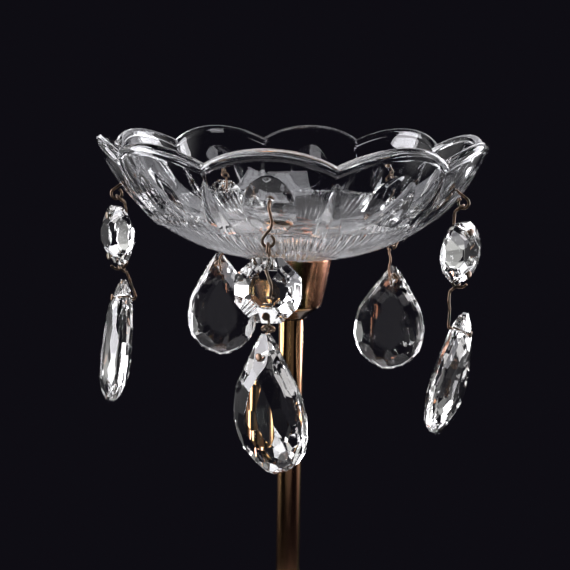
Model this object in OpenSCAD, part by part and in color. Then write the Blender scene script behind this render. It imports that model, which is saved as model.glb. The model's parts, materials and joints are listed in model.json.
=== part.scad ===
// Tabletop candelabra: a pressed glass bobeche with five hanging crystal strands, on a brass stand.
// Millimetres, +Z up. The origin is the centre of the foot's underside.
// Everything round the bowl repeats on strands 1 to 5, counted anticlockwise from the front,
// seen from above.

/* [Foot] */
// Radius of the round foot
foot_r = 52; // [46:1:60]
// Height of the foot's dome above the table
foot_h = 27; // [24:1:32]
// Thickness of the spun brass foot
shell_t = 1; // [0.8:0.1:1.5]
// Thickness of the felt pad under the foot
felt_t = 1.5; // [1:0.5:2]

/* [Stem] */
// Outer radius of the brass stem tube
stem_r = 4.15; // [4:0.05:4.6]
// Wall of the stem tube
stem_wall = 0.9; // [0.6:0.1:0.9]
// Radius of the tie rod that holds the stand together
rod_r = 3; // [2.5:0.5:3]
// Height of the turned collar at the bottom of the stem
collar_h = 11; // [8:1:16]

/* [Candle cup] */
// Height of the cup's rim above the table
cup_rim_z = 220; // [200:1:300]
// Outer radius of the cup at its rim
cup_rim_r = 13.1; // [12.9:0.1:13.6]
// Outer radius of the cup at its base
cup_base_r = 10; // [9.5:0.1:11]
// Height of the cup's flared wall
cup_h = 16.6; // [15:0.1:20]
// Radius of the socket, for a 22 mm candle
socket_r = 11.2; // [11.1:0.05:11.3]
// Length of the straight part of the socket
socket_len = 5.4; // [5:0.1:6]

/* [Bowl] */
// Radius of the bowl at the top of its scallops
bowl_r = 62; // [60:0.5:64]
// Height of the bowl at the top of its scallops
bowl_h = 38.3; // [36:0.1:40]
// Wall of the bowl
bowl_wall = 3; // [2.5:0.1:3.5]
// Radius of the candle hole in the bowl's floor
bowl_hole_r = 11.7; // [11.5:0.1:12]
// Number of scallops round the rim
scallops = 10; // [8:2:12]
// Radius of the arc of each scallop
scallop_r = 39; // [36:1:60]
// Turn of the first scallop from the front
bowl_turn = -6.5; // [-18:0.5:18]

/* [Strands] */
// Number of strands, one on every second scallop
strands = 5; // [5:1:5]
// Position of the hook holes up the bowl's curve, in degrees from its floor
hole_turn = 57; // [54:0.5:60]
// Radius of the hook holes
hole_r = 0.95; // [0.9:0.05:1.1]
// Gap between the octagon and the drop of strands 1 to 5
drop_gaps = [3, 9.6, 9.8, 7, 5.5]; // [3:0.1:10]
// Turn of the octagon of strands 1 to 5 on its wires, away from straight outwards
octagon_turns = [0, -22, 15, -10, 25]; // [-30:1:30]
// Turn of the drop of strands 1 to 5 on its pin, away from straight outwards
drop_turns = [-35, -5, 30, -20, 8]; // [-35:1:35]
// Lean of the drop of strands 1 to 5, its point outwards
drop_leans = [0, -10, 0, 0, 8]; // [-10:0.5:10]
// Lean of the drop of strands 1 to 5, its point to the right seen from outside
drop_sways = [3, 0, 2.8, -3.3, 0]; // [-5:0.1:5]
// How far outwards the drop of strands 1 to 5 stands from its link
drop_outs = [0, 1, 0, 0, -1]; // [-1.5:0.1:1.5]
// Distance from the top of the wires that carry it down to the octagon's centre, on strands 1 to 5
octagon_hangs = [11.85, 14.1, 13, 13, 12.3]; // [11.8:0.05:15]

/* [Wire pins] */
// Radius of the brass wire
wire_r = 0.42; // [0.38:0.01:0.45]
// Radius of the nail heads
head_r = 1.15; // [1:0.05:1.3]
// Radius of a bent eye, to the middle of the wire
eye_r = 1.6; // [1.5:0.05:1.8]
// Clear space between the wires of two linked eyes
link_gap = 0.1; // [0.06:0.01:0.15]

/* [Octagon] */
// Width of the octagon across its flats
octagon_w = 18; // [17:0.5:19]
// Thickness of the octagon at its flat faces
octagon_t = 8; // [7:0.5:9]
// Distance of the two holes from the octagon's centre
octagon_hole = 6.4; // [6.2:0.1:6.6]
// Width of the octagon's flat faces
octagon_table = 7.5; // [7:0.5:9]

/* [Drop] */
// Length of the pear drop
drop_l = 40; // [38:0.5:42]
// Width of the pear drop
drop_w = 26.6; // [24:0.2:28]
// Thickness of the drop at its flat faces
drop_t = 8.4; // [8:0.1:9]
// Distance of the drop's hole from its top
drop_hole = 5.9; // [5.5:0.1:6.5]

/* [Hidden] */
$fn = 96;
clearance = 0.05;

// Foot: the dome falls in an S from the neck to the shoulder.
neck_r = 11;
shoulder_r = foot_r - 4;
shoulder_z = 5.5;
dome_steps = 16;
dome_drop = 1.35 * shell_t;
weight_gap = 0.6;
weight_r = foot_r - 6;
recess_r = 9;
nut_af = 10;
nut_h = 5;
washer_t = 1;
rod_bottom_z = 2.6;
nut_z = 3.4;
washer_z = nut_z + nut_h;
recess_z = washer_z + washer_t;

// Stem and cup
cone_h = 4.9;
cup_bottom_z = cup_rim_z - cup_h - cone_h;
tube_bottom_z = foot_h + 2;
rod_thread = 4.2;
cup_floor_z = cup_rim_z - cup_h + 0.8;

// Bowl: the outside is a quarter of an ellipse, from its centre line out to the rim.
seat_gap = 0.05;
bowl_z = cup_rim_z + seat_gap;
curve_r0 = 10;
curve_b = 50;
curve_a = (bowl_r - curve_r0) / sin(acos(1 - bowl_h / curve_b));
rim_turn = acos(1 - (bowl_h + 1) / curve_b);
curve_steps = 18;
function bowl_outside(turn) =
    [curve_r0 + curve_a * sin(turn), curve_b * (1 - cos(turn))];
function bowl_inside(turn) =
    [curve_r0 + (curve_a - bowl_wall) * sin(turn), curve_b - (curve_b - bowl_wall) * cos(turn)];
scallop_turn = 360 / scallops;

// Hook holes: [outwards, up] in the upright plane through a strand, square to the bowl's wall.
hole_at = bowl_outside(hole_turn) + [0, bowl_z];
hole_out = unit([curve_b * sin(hole_turn), -curve_a * cos(hole_turn)]);
hole_down = [hole_out[1], -hole_out[0]];
head_t = 0.5;
head_in = bowl_wall + 0.5;
eye_out = 2.2;

// Links: heights at which each strand's pieces hang, from its hook down.
link_rise = 2 * wire_r + link_gap;
hang_at = hole_at + hole_out * eye_out + hole_down * eye_r;
hang_u = hang_at[0];
front_eye_z = hole_at[1] - 10.7;
ring_tilt = 50;
link_below = 10.9;

function turn_of(k) = bowl_turn + (k - 1) * 360 / strands;
function is_front(k) = k == 1;
function ring_top_z(k) = is_front(k) ? front_eye_z : hang_at[1] - eye_r + link_rise;
function octagon_z(k) = ring_top_z(k) - octagon_hangs[k - 1];
function link_z(k) = octagon_z(k) - link_below;
function drop_top_z(k) = octagon_z(k) - octagon_w / 2 - drop_gaps[k - 1];
function link_above(k) = [0, 0, link_z(k) - drop_top_z(k)];

strand_parts = ["bowl_pin", "bead_pin", "octagon", "link_pin", "drop_pin", "drop"];

function unit(v) = v / norm(v);

// ---------- wire ----------
// A wire is swept along its path with a radius for each point, so that a nail head is part of it.
wire_sides = 8;

function tangent(path, i) =
    unit(path[min(i + 1, len(path) - 1)] - path[max(i - 1, 0)]);

// The last side vector, turned just enough to stay square to the wire.
function carried(side, along) = unit(side - (side * along) * along);

function side_vectors(path, first) =
    [for (i = 0, side = carried(first, tangent(path, 0));
          i < len(path);
          side = carried(side, tangent(path, i + 1)), i = i + 1) side];

module wire(path, radii) {
    sides = side_vectors(path, [0.3, 0.9, 0.2]);
    count = len(path);
    points = [for (i = [0 : count - 1])
        let(along = tangent(path, i), side = sides[i], other = cross(along, side))
        for (s = [0 : wire_sides - 1])
            let(a = 360 * s / wire_sides)
            path[i] + radii[i] * (cos(a) * side + sin(a) * other)];
    walls = [for (i = [0 : count - 2])
        for (s = [0 : wire_sides - 1])
            let(a = i * wire_sides + s,
                b = i * wire_sides + (s + 1) % wire_sides)
            for (half = [0, 1])
                half == 0 ? [a, a + wire_sides, b] : [b, a + wire_sides, b + wire_sides]];
    first_end = [for (s = [0 : wire_sides - 1]) s];
    last_end = [for (s = [0 : wire_sides - 1]) count * wire_sides - 1 - s];
    polyhedron(points, concat([first_end], walls, [last_end]));
}

// A nail: a flat head at from, square to the first stretch of wire, then the wire along path.
module nail(from, path) {
    start = from + head_t * unit(path[0] - from);
    points = concat([from, start, start], path);
    radii = concat([head_r, head_r, wire_r], [for (p = path) wire_r]);
    wire(points, radii);
}

// Points of strands are [outwards, sideways, up].
function in_plane(p) = [p[0], 0, p[1]];

// An eye in the upright plane through the strand, about centre, anticlockwise from outwards.
function upright_eye(centre, r, from, to, steps) =
    [for (i = [0 : steps])
        let(a = from + (to - from) * i / steps)
        in_plane(centre + r * [cos(a), sin(a)])];

// An eye across the strand. It hangs by the middle of its top wire and leans inwards by tilt.
eye_opening = 46;
function crosswise_eye(top, r, tilt, steps) =
    [for (i = [0 : steps])
        let(a = 180 - (360 - eye_opening) * i / steps,
            down = [-sin(tilt), 0, -cos(tilt)])
        top + r * down - r * cos(a) * down + r * [0, sin(a), 0]];

// The same turns for a point of a wire as rotate gives a solid
function about_x(p, a) = [p[0], p[1] * cos(a) - p[2] * sin(a), p[1] * sin(a) + p[2] * cos(a)];
function about_y(p, a) = [p[0] * cos(a) + p[2] * sin(a), p[1], p[2] * cos(a) - p[0] * sin(a)];
function about_z(p, a) = [p[0] * cos(a) - p[1] * sin(a), p[0] * sin(a) + p[1] * cos(a), p[2]];

// Where a point of drop k is once the drop has turned and leans, about the middle of its hole
drop_middle = [0, 0, -drop_hole];
function hung_point(p, k) =
    drop_middle + [drop_outs[k - 1], 0, 0] + about_y(
        about_x(about_z(p - drop_middle, drop_turns[k - 1]), drop_sways[k - 1]),
        -drop_leans[k - 1]);

module hung(k) {
    translate(drop_middle + [drop_outs[k - 1], 0, 0])
        rotate([drop_sways[k - 1], -drop_leans[k - 1], 0])
            rotate([0, 0, drop_turns[k - 1]])
                translate(-drop_middle)
                    children();
}

// Stands at strand k's own turn, with outwards along +X.
module at_strand(k) {
    rotate([0, 0, turn_of(k) - 90]) children();
}

// ---------- stand ----------
function dome_z(r) =
    let(x = (shoulder_r - min(max(r, neck_r), shoulder_r)) / (shoulder_r - neck_r))
    shoulder_z + (foot_h - shoulder_z) * (1 - cos(180 * x)) / 2;

function dome_line(from, to, drop) =
    [for (i = [0 : dome_steps])
        let(r = from + (to - from) * i / dome_steps)
        [r, dome_z(r) - drop]];

module felt_pad() {
    color("darkgreen") cylinder(h = felt_t, r = foot_r - 1.5);
}

module foot_weight() {
    boss_r = 8;
    weight_z = felt_t + 0.5;
    drop = dome_drop + weight_gap;
    color("dimgray") rotate_extrude() polygon(concat(
        [[recess_r, weight_z], [weight_r, weight_z]],
        dome_line(weight_r, neck_r, drop),
        [[boss_r, foot_h - drop], [boss_r, foot_h - shell_t], [rod_r + 0.2, foot_h - shell_t],
         [rod_r + 0.2, recess_z], [recess_r, recess_z]]
    ));
}

module foot_shell() {
    edge_z = 4;
    color("darkgoldenrod") rotate_extrude() polygon(concat(
        [[foot_r - shell_t, felt_t], [foot_r, felt_t], [foot_r, edge_z],
         [foot_r - 0.4, edge_z + 0.9], [foot_r - 1.4, edge_z + 1.4]],
        dome_line(shoulder_r, neck_r, 0),
        [[rod_r + 0.2, foot_h], [rod_r + 0.2, foot_h - shell_t], [neck_r - 1, foot_h - shell_t]],
        dome_line(neck_r, shoulder_r, dome_drop),
        [[foot_r - 1.8, edge_z], [foot_r - shell_t, edge_z - 0.6]]
    ));
}

module lock_washer() {
    split_w = 1.2;
    washer_r = 6.2;
    color("silver") translate([0, 0, washer_z]) difference() {
        cylinder(h = washer_t, r = washer_r);
        translate([0, 0, -1]) cylinder(h = washer_t + 2, r = rod_r + 0.2);
        translate([0, -split_w / 2, -1]) cube([washer_r + 1, split_w, washer_t + 2]);
    }
}

module foot_nut() {
    color("silver") translate([0, 0, nut_z]) difference() {
        cylinder(h = nut_h, r = nut_af / 2 / cos(30), $fn = 6);
        translate([0, 0, -1]) cylinder(h = nut_h + 2, r = rod_r + clearance);
    }
}

module tie_rod() {
    rod_top_z = cup_bottom_z + rod_thread - 0.2;
    color("gray") translate([0, 0, rod_bottom_z]) cylinder(h = rod_top_z - rod_bottom_z, r = rod_r);
}

module stem_collar() {
    top_z = foot_h + collar_h;
    top_r = stem_r + 1;
    color("darkgoldenrod") rotate_extrude() polygon([
        [rod_r + 0.2, foot_h], [neck_r - 0.5, foot_h], [neck_r - 0.2, foot_h + 0.8],
        [neck_r - 0.5, foot_h + 1.6], [neck_r - 2.5, foot_h + 2], [stem_r + 2.6, foot_h + 3.4],
        [stem_r + 1.7, foot_h + 5.5], [top_r, top_z - 2.2], [top_r + 0.7, top_z - 1.4],
        [top_r + 0.7, top_z - 0.6], [top_r, top_z], [stem_r + clearance, top_z],
        [stem_r + clearance, tube_bottom_z], [rod_r + 0.2, tube_bottom_z]
    ]);
}

module stem_tube() {
    color("goldenrod") translate([0, 0, tube_bottom_z]) difference() {
        cylinder(h = cup_bottom_z - tube_bottom_z, r = stem_r);
        translate([0, 0, -1])
            cylinder(h = cup_bottom_z - tube_bottom_z + 2, r = stem_r - stem_wall);
    }
}

module candle_cup() {
    wall_z = cup_rim_z - cup_h;
    seat_z = cup_rim_z - 0.4 - socket_len;
    color("darkgoldenrod") rotate_extrude() polygon([
        [0, cup_floor_z], [cup_base_r - 2, cup_floor_z], [socket_r, seat_z],
        [socket_r, cup_rim_z - 0.4], [socket_r + 0.4, cup_rim_z], [cup_rim_r - 0.5, cup_rim_z],
        [cup_rim_r - 0.1, cup_rim_z - 0.3], [cup_rim_r, cup_rim_z - 0.8],
        [cup_base_r, wall_z], [cup_base_r - 0.8, wall_z - 0.9], [stem_r + 2, cup_bottom_z + 1.6],
        [stem_r + 1, cup_bottom_z + 0.8], [stem_r + 0.9, cup_bottom_z],
        [rod_r + clearance, cup_bottom_z], [rod_r + clearance, cup_bottom_z + rod_thread],
        [0, cup_bottom_z + rod_thread]
    ]);
}

// ---------- bowl ----------
module bowl_blank() {
    floor_from = asin((bowl_hole_r - curve_r0) / curve_a);
    inside_from = asin((bowl_hole_r + 0.6 - curve_r0) / (curve_a - bowl_wall));
    inside_to = acos((curve_b - bowl_h - 1) / (curve_b - bowl_wall));
    outside = [for (i = [0 : curve_steps])
        bowl_outside(floor_from + (rim_turn - floor_from) * i / curve_steps)];
    inside = [for (i = [0 : curve_steps])
        bowl_inside(inside_to + (inside_from - inside_to) * i / curve_steps)];
    rotate_extrude() polygon(concat(
        [[bowl_hole_r, 0], [cup_rim_r + 1, 0]],
        [for (p = outside) if (p[0] > cup_rim_r + 3) p],
        inside,
        [[bowl_hole_r, bowl_wall - 0.5]]
    ));
}

module scallop_mask() {
    notch_z = bowl_h - scallop_r + sqrt(pow(scallop_r, 2) - pow((bowl_r - 2) * sin(scallop_turn / 2), 2));
    translate([0, 0, -1]) cylinder(h = notch_z + 0.8, r = bowl_r + 3);
    for (i = [0 : scallops - 1])
        rotate([0, 0, bowl_turn - 90 + scallop_turn * i])
            translate([bowl_r - 12, 0, bowl_h - scallop_r])
                rotate([0, 90, 0]) cylinder(h = 16, r = scallop_r);
}

module hook_hole() {
    slope = atan2(hole_out[1], hole_out[0]);
    translate([hole_at[0], 0, hole_at[1] - bowl_z]) rotate([0, 90 - slope, 0]) {
        translate([0, 0, -bowl_wall - 2]) cylinder(h = bowl_wall + 4, r = hole_r, $fn = 32);
        translate([0, 0, -0.5]) cylinder(h = 1.1, r1 = hole_r, r2 = hole_r + 0.9, $fn = 32);
    }
}

module bobeche() {
    color("lightcyan") translate([0, 0, bowl_z]) difference() {
        intersection() {
            bowl_blank();
            scallop_mask();
        }
        for (k = [1 : strands]) at_strand(k) hook_hole();
    }
}

// ---------- strand ----------
// A hole right through a crystal, outwards. Its seam is turned away from the crystal's own edges.
module pin_hole() {
    pin_hole_r = 0.65;
    rotate([0, 90, 0]) rotate([0, 0, 15])
        cylinder(h = 2 * octagon_w, r = pin_hole_r, center = true, $fn = 32);
}

// The pin through the bowl's wall, with its head inside. Its eye hangs outside, in the strand's plane.
// The front one is longer and is bent to an S that ends in an eye across the strand.
module bowl_pin(k) {
    head = in_plane(hole_at - hole_out * (head_in + head_t));
    straight = [in_plane(hole_at + hole_out * (eye_out - 0.4))];
    eye = [for (i = [0 : 14])
        let(a = 8 + 282 * i / 14)
        in_plane(hang_at - eye_r * cos(a) * hole_down + eye_r * sin(a) * hole_out)];
    s_bend = [
        in_plane(hole_at + hole_out * 0.5), [hang_u - 0.2, 0.2, hole_at[1] - 1],
        [hang_u, 0.6, hole_at[1] - 2.5], [hang_u, 0.9, hole_at[1] - 4.2], [hang_u, 0.4, hole_at[1] - 6],
        [hang_u, -0.5, hole_at[1] - 7]
    ];
    front_eye = [for (i = [0 : 14])
        let(a = 140 + 285 * i / 14)
        [hang_u, eye_r * cos(a), front_eye_z + eye_r + eye_r * sin(a)]];
    color("peru") at_strand(k) nail(head, is_front(k) ? concat(s_bend, front_eye) : concat(straight, eye));
}

// Half the octagon's thickness at its girdle, and at the height of its holes
octagon_girdle = 0.8;
hole_rise = (octagon_w / 2 - octagon_hole) / (octagon_w / 2 - octagon_table / 2);
hole_half = octagon_girdle + hole_rise * (octagon_t / 2 - octagon_girdle);
head_stand_off = 1.3;
leg_stand_off = 0.75;
bead_head_u = hole_half + head_stand_off;
back_u = -hole_half - leg_stand_off;

// The pin in the octagon's upper hole, with its head on the outer face. It rises behind the octagon
// to a leaning crosswise eye. The front one hangs by an upright eye and its long tail lies on the face.
module bead_pin(k) {
    ring_top = [0, 0, octagon_hangs[k - 1]];
    head = about_z([bead_head_u, 0, octagon_hole], octagon_turns[k - 1]);
    back_leg = [[-hole_half + 0.1, 0, octagon_hole], [back_u + 0.2, 0, octagon_hole + 0.3],
                [back_u, 0, octagon_hole + 1]];
    across = concat(
        [for (p = back_leg) about_z(p, octagon_turns[k - 1])],
        [ring_top + [-2.5, 0, -2.8]],
        crosswise_eye(ring_top, eye_r, ring_tilt, 14)
    );
    loop_r = 1.5;
    loop_z = octagon_hangs[k - 1] + link_rise - loop_r;
    tail = concat(
        [[5.4, 1.4, 1], [5.4, 1.6, 2.5], [5.1, 0.8, 4.8], [4.5, 0.2, octagon_hole - 0.4],
         [3.6, 0, octagon_hole]],
        back_leg,
        [[-2.3, 0, octagon_hole + 2.9]],
        upright_eye([0, loop_z], loop_r, 180, -35, 10)
    );
    color("peru") at_strand(k) translate([hang_u, 0, octagon_z(k)])
        if (is_front(k)) nail([5.4, 1.3, -1], tail);
        else nail(head, across);
}

module octagon(k) {
    half_side = 22.5;
    color("aliceblue") at_strand(k) translate([hang_u, 0, octagon_z(k)])
        rotate([0, 0, octagon_turns[k - 1]]) difference() {
            rotate([0, 90, 0]) rotate([0, 0, half_side]) hull() {
                translate([0, 0, -octagon_t / 2])
                    cylinder(h = octagon_t, r = octagon_table / 2 / cos(half_side), $fn = 8);
                translate([0, 0, -octagon_girdle])
                    cylinder(h = 2 * octagon_girdle, r = octagon_w / 2 / cos(half_side), $fn = 8);
            }
            for (side = [-1, 1]) translate([0, 0, side * octagon_hole]) pin_hole();
        }
}

// The pin in the octagon's lower hole. It passes through and round under the edge to carry the drop.
module link_pin(k) {
    bend_r = 2.6;
    bend_z = -link_below + bend_r;
    head = about_z([bead_head_u, 0, -octagon_hole], octagon_turns[k - 1]);
    back_leg = [[-hole_half + 0.1, 0, -octagon_hole], [back_u + 0.15, 0, -octagon_hole - 0.3],
                [back_u, 0, -octagon_hole - 1.1]];
    path = concat(
        [for (p = back_leg) about_z(p, octagon_turns[k - 1])],
        upright_eye([0, bend_z], bend_r, 195, 330, 9)
    );
    color("peru") at_strand(k) translate([hang_u, 0, octagon_z(k)]) nail(head, path);
}

// Outlines of the drop and its two flat faces, as shares of its length below its top and of its width
drop_outline = [[0, 0.06], [0.12, 0.19], [0.3, 0.375], [0.5, 0.48], [0.64, 0.5], [0.8, 0.45],
                [0.91, 0.31], [0.97, 0.16], [1, 0.06]];
outer_table = [[0.3, 0.05], [0.42, 0.2], [0.6, 0.3], [0.7, 0.29], [0.78, 0.2], [0.82, 0.06]];
inner_table = [[0.18, 0.11], [0.38, 0.33], [0.58, 0.42], [0.7, 0.41], [0.82, 0.32], [0.91, 0.12]];
drop_girdle = 0.7;

module face_slab(outline, from, to) {
    right = [for (p = outline) [p[1] * drop_w, -p[0] * drop_l]];
    left = [for (i = [len(outline) - 1 : -1 : 0]) [-outline[i][1] * drop_w, -outline[i][0] * drop_l]];
    translate([from, 0, 0]) rotate([90, 0, 90])
        linear_extrude(height = to - from) polygon(concat(right, left));
}

// The drop's girdle plane stands a little outside the pin's line, so that the drop hangs upright.
girdle_u = 0.3;
back_rise = drop_hole / (inner_table[0][0] * drop_l);
drop_back = girdle_u - drop_girdle - (drop_t / 2 - drop_girdle) * back_rise;

module drop(k) {
    color("aliceblue") at_strand(k) translate([hang_u, 0, drop_top_z(k)]) hung(k) difference() {
        hull() {
            face_slab(drop_outline, girdle_u - drop_girdle, girdle_u + drop_girdle);
            face_slab(outer_table, girdle_u, girdle_u + drop_t / 2);
            face_slab(inner_table, girdle_u - drop_t / 2, girdle_u);
        }
        translate([0, 0, -drop_hole]) pin_hole();
    }
}

// The pin in the drop's hole. It rises behind the drop to a leaning crosswise eye in the link pin.
module drop_pin(k) {
    head_u = girdle_u + 3.5;
    eye_top = link_above(k) + [0, 0, link_rise];
    eye_foot = eye_top + 2 * eye_r * [-sin(ring_tilt), 0, -cos(ring_tilt)];
    leg_u = drop_back - leg_stand_off;
    back_leg = [[drop_back + 0.1, 0, -drop_hole], [leg_u + 0.2, 0, 0.3 - drop_hole],
                [leg_u, 0, 1.1 - drop_hole]];
    path = concat(
        [for (p = back_leg) hung_point(p, k)],
        [[eye_foot[0] - 0.4, 0, eye_foot[2] - 1]],
        crosswise_eye(eye_top, eye_r, ring_tilt, 14)
    );
    color("peru") at_strand(k) translate([hang_u, 0, drop_top_z(k)])
        nail(hung_point([head_u, 0, -drop_hole], k), path);
}

felt_pad();
foot_weight();
foot_shell();
lock_washer();
foot_nut();
tie_rod();
stem_collar();
stem_tube();
candle_cup();
bobeche();
for (k = [1 : strands]) {
    bowl_pin(k);
    bead_pin(k);
    octagon(k);
    link_pin(k);
    drop_pin(k);
    drop(k);
}
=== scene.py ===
# %% [markdown]
# # A candelabra with a pressed glass bowl and crystal strands
# This lesson dresses a working model of a small candelabra. The model already holds every piece at its
# real size and place, with its joints, so the work here is to give each piece its true surface: cut
# facets on the crystals, moulded relief on the bowl, turned edges on the brass, and materials to match.

# %% Load the frame
import json
import math

import bmesh
import bpy
from mathutils import Matrix, Vector


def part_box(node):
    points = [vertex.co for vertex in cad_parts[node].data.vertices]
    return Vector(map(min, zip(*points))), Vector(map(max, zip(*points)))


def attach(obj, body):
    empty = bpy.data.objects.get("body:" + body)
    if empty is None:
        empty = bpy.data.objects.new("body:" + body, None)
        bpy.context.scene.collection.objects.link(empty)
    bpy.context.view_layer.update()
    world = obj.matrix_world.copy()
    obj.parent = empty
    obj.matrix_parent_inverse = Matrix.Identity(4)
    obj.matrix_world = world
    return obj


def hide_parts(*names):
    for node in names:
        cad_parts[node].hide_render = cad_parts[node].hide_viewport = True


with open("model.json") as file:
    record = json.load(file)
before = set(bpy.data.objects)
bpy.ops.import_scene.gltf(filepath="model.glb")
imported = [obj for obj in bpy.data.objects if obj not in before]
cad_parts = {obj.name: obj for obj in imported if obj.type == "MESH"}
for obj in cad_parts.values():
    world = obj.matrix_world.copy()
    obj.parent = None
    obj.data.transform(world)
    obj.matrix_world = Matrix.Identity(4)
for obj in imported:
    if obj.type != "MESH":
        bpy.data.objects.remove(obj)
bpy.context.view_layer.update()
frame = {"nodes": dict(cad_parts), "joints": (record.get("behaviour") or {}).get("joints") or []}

MM = 0.001
JOINTS = {joint["name"]: joint for joint in frame["joints"]}

# %% [markdown]
# ## Camera
# The object is looked at from a little above the bowl, close up, as one would look at it on a table
# from a low chair. The camera is placed by its distance and height angle from the middle of the bowl,
# and then tipped down, so that the hanging crystals fill the lower half of the view.

# %% Camera
bowl_low, bowl_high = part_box("bobeche")
BOWL_FLOOR = bowl_low.z
RIM_TOP = bowl_high.z
AIM = Vector((0, 0, BOWL_FLOOR + 20 * MM))
VIEW_DISTANCE = 300.8 * MM
VIEW_ELEVATION = math.radians(6.9)
VIEW_TIP = math.radians(12.6)
VIEW_TURN = math.radians(0.41)
VIEW_ROLL = math.radians(-0.68)
LENS = 58.8

camera_data = bpy.data.cameras.new("camera")
camera_data.lens = LENS
camera_data.sensor_width = 36
camera_data.clip_start = 10 * MM
camera = bpy.data.objects.new("camera", camera_data)
bpy.context.scene.collection.objects.link(camera)
camera.location = AIM + VIEW_DISTANCE * Vector((0, -math.cos(VIEW_ELEVATION), math.sin(VIEW_ELEVATION)))
tipped = Matrix.Rotation(VIEW_TURN, 4, "Z") @ Matrix.Rotation(math.radians(90) - VIEW_TIP, 4, "X")
camera.rotation_euler = (tipped @ Matrix.Rotation(-VIEW_ROLL, 4, "Z")).to_euler()
bpy.context.scene.camera = camera
print("camera at", [round(c / MM) for c in camera.location], "mm")

# %% [markdown]
# ## Floor, backdrop and light
# Clear glass has no colour of its own: it shows only what it bends and mirrors. So it is lit the way
# glass is lit in a studio, from large soft panels beside and behind it, with a quiet backdrop that
# leaves the bright edges something to stand out from. The floor is a plain pale table top.

# %% Floor, backdrop and light
def new_object(name, mesh):
    thing = bpy.data.objects.new(name, mesh)
    bpy.context.scene.collection.objects.link(thing)
    return thing


def mesh_from(name, verts, faces, smooth=True):
    mesh = bpy.data.meshes.new(name)
    mesh.from_pydata([tuple(v) for v in verts], [], faces)
    mesh.validate()
    mesh.update()
    for polygon in mesh.polygons:
        polygon.use_smooth = smooth
    return mesh


LAMP_COLOUR = (0.95, 0.94, 1)


def area_light(name, place, size, power):
    """A soft panel at a place, of a width and height, turned to face the bowl."""
    data = bpy.data.lights.new(name, "AREA")
    data.shape = "RECTANGLE"
    data.size, data.size_y = size
    data.energy = power
    data.color = LAMP_COLOUR
    light = bpy.data.objects.new(name, data)
    bpy.context.scene.collection.objects.link(light)
    light.location = place
    aim = AIM - Vector(place)
    light.rotation_euler = aim.to_track_quat("-Z", "Y").to_euler()
    return light


FLOOR_RADIUS = 0.172
FLOOR_RINGS = [0.5, 0.9, 1.0]
FLOOR_SIDES = 96
floor_verts = [(FLOOR_RADIUS * f * math.cos(2 * math.pi * s / FLOOR_SIDES),
                FLOOR_RADIUS * f * math.sin(2 * math.pi * s / FLOOR_SIDES), 0)
               for f in FLOOR_RINGS for s in range(FLOOR_SIDES)]
floor_faces = [tuple(range(FLOOR_SIDES))]
for ring in range(len(FLOOR_RINGS) - 1):
    for s in range(FLOOR_SIDES):
        a = ring * FLOOR_SIDES + s
        b = ring * FLOOR_SIDES + (s + 1) % FLOOR_SIDES
        floor_faces.append((a, a + FLOOR_SIDES, b + FLOOR_SIDES, b))
floor = new_object("floor", mesh_from("floor", floor_verts, floor_faces))
area_light("panel_left", (-0.80, 0.04, 0.34), (0.40, 0.95), 10.0)
area_light("panel_right", (0.72, 0.36, 0.36), (0.34, 0.82), 7.0)
area_light("panel_back", (0.15, 0.85, 0.72), (1.6, 0.5), 3.4)
area_light("panel_top", (0.1, 0.0, 1.05), (0.4, 0.4), 1.6)
area_light("panel_front", (0.85, -0.55, 0.60), (0.3, 0.4), 1.2)
area_light("panel_low", (-0.1, -1.0, -0.05), (1.3, 0.45), 0.28)

# %% [markdown]
# ## Surroundings
# What a room is like far away shows in every facet. Here it is dark ahead and behind, like a black
# cloth, and pale at the two sides, where the crystals look for light to bend. The pale part has soft
# folds, so that a reflection isn't one flat tone, and it fades out towards the ground.

# %% Surroundings
def add_node(tree, kind, **settings):
    node = tree.nodes.new(kind)
    for key, value in settings.items():
        setattr(node, key, value)
    return node


def set_inputs(node, values):
    for key, value in values.items():
        node.inputs[key].default_value = value
    return node


def link_all(tree, links):
    for start, end in links:
        tree.links.new(start, end)


DARK_CLOTH = (0.0045, 0.004, 0.0065, 1)
PALE_CLOTH = (1.0, 1.0, 1.0, 1)
BEHIND_SHARE = 0.3
PALE_FROM, PALE_TO = 0.76, 1.0
FADE_FROM, FADE_TO = -0.48, -0.2
FOLD_FROM, FOLD_TO = 0.25, 0.7

world = bpy.data.worlds.new("studio")
world.use_nodes = True
sky = world.node_tree
background = sky.nodes["Background"]
direction = add_node(sky, "ShaderNodeTexCoord").outputs["Generated"]
parts = add_node(sky, "ShaderNodeSeparateXYZ")
sideways = add_node(sky, "ShaderNodeMath", operation="ABSOLUTE")
behind = add_node(sky, "ShaderNodeMath", operation="MULTIPLY_ADD")
height = add_node(sky, "ShaderNodeMapRange", interpolation_type="SMOOTHSTEP")
lit = add_node(sky, "ShaderNodeMath", operation="MULTIPLY")
walls = add_node(sky, "ShaderNodeMapRange", interpolation_type="SMOOTHSTEP")
cloth = add_node(sky, "ShaderNodeTexNoise")
folds = add_node(sky, "ShaderNodeMapRange")
glow = add_node(sky, "ShaderNodeMath", operation="MULTIPLY")
tone = add_node(sky, "ShaderNodeMix", data_type="RGBA")
set_inputs(cloth, {"Scale": 2.2, "Detail": 2.0})
set_inputs(behind, {1: BEHIND_SHARE})
set_inputs(walls, {"From Min": PALE_FROM, "From Max": PALE_TO})
set_inputs(height, {"From Min": FADE_FROM, "From Max": FADE_TO})
set_inputs(folds, {"From Min": FOLD_FROM, "From Max": FOLD_TO})
set_inputs(tone, {6: DARK_CLOTH, 7: PALE_CLOTH})
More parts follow.
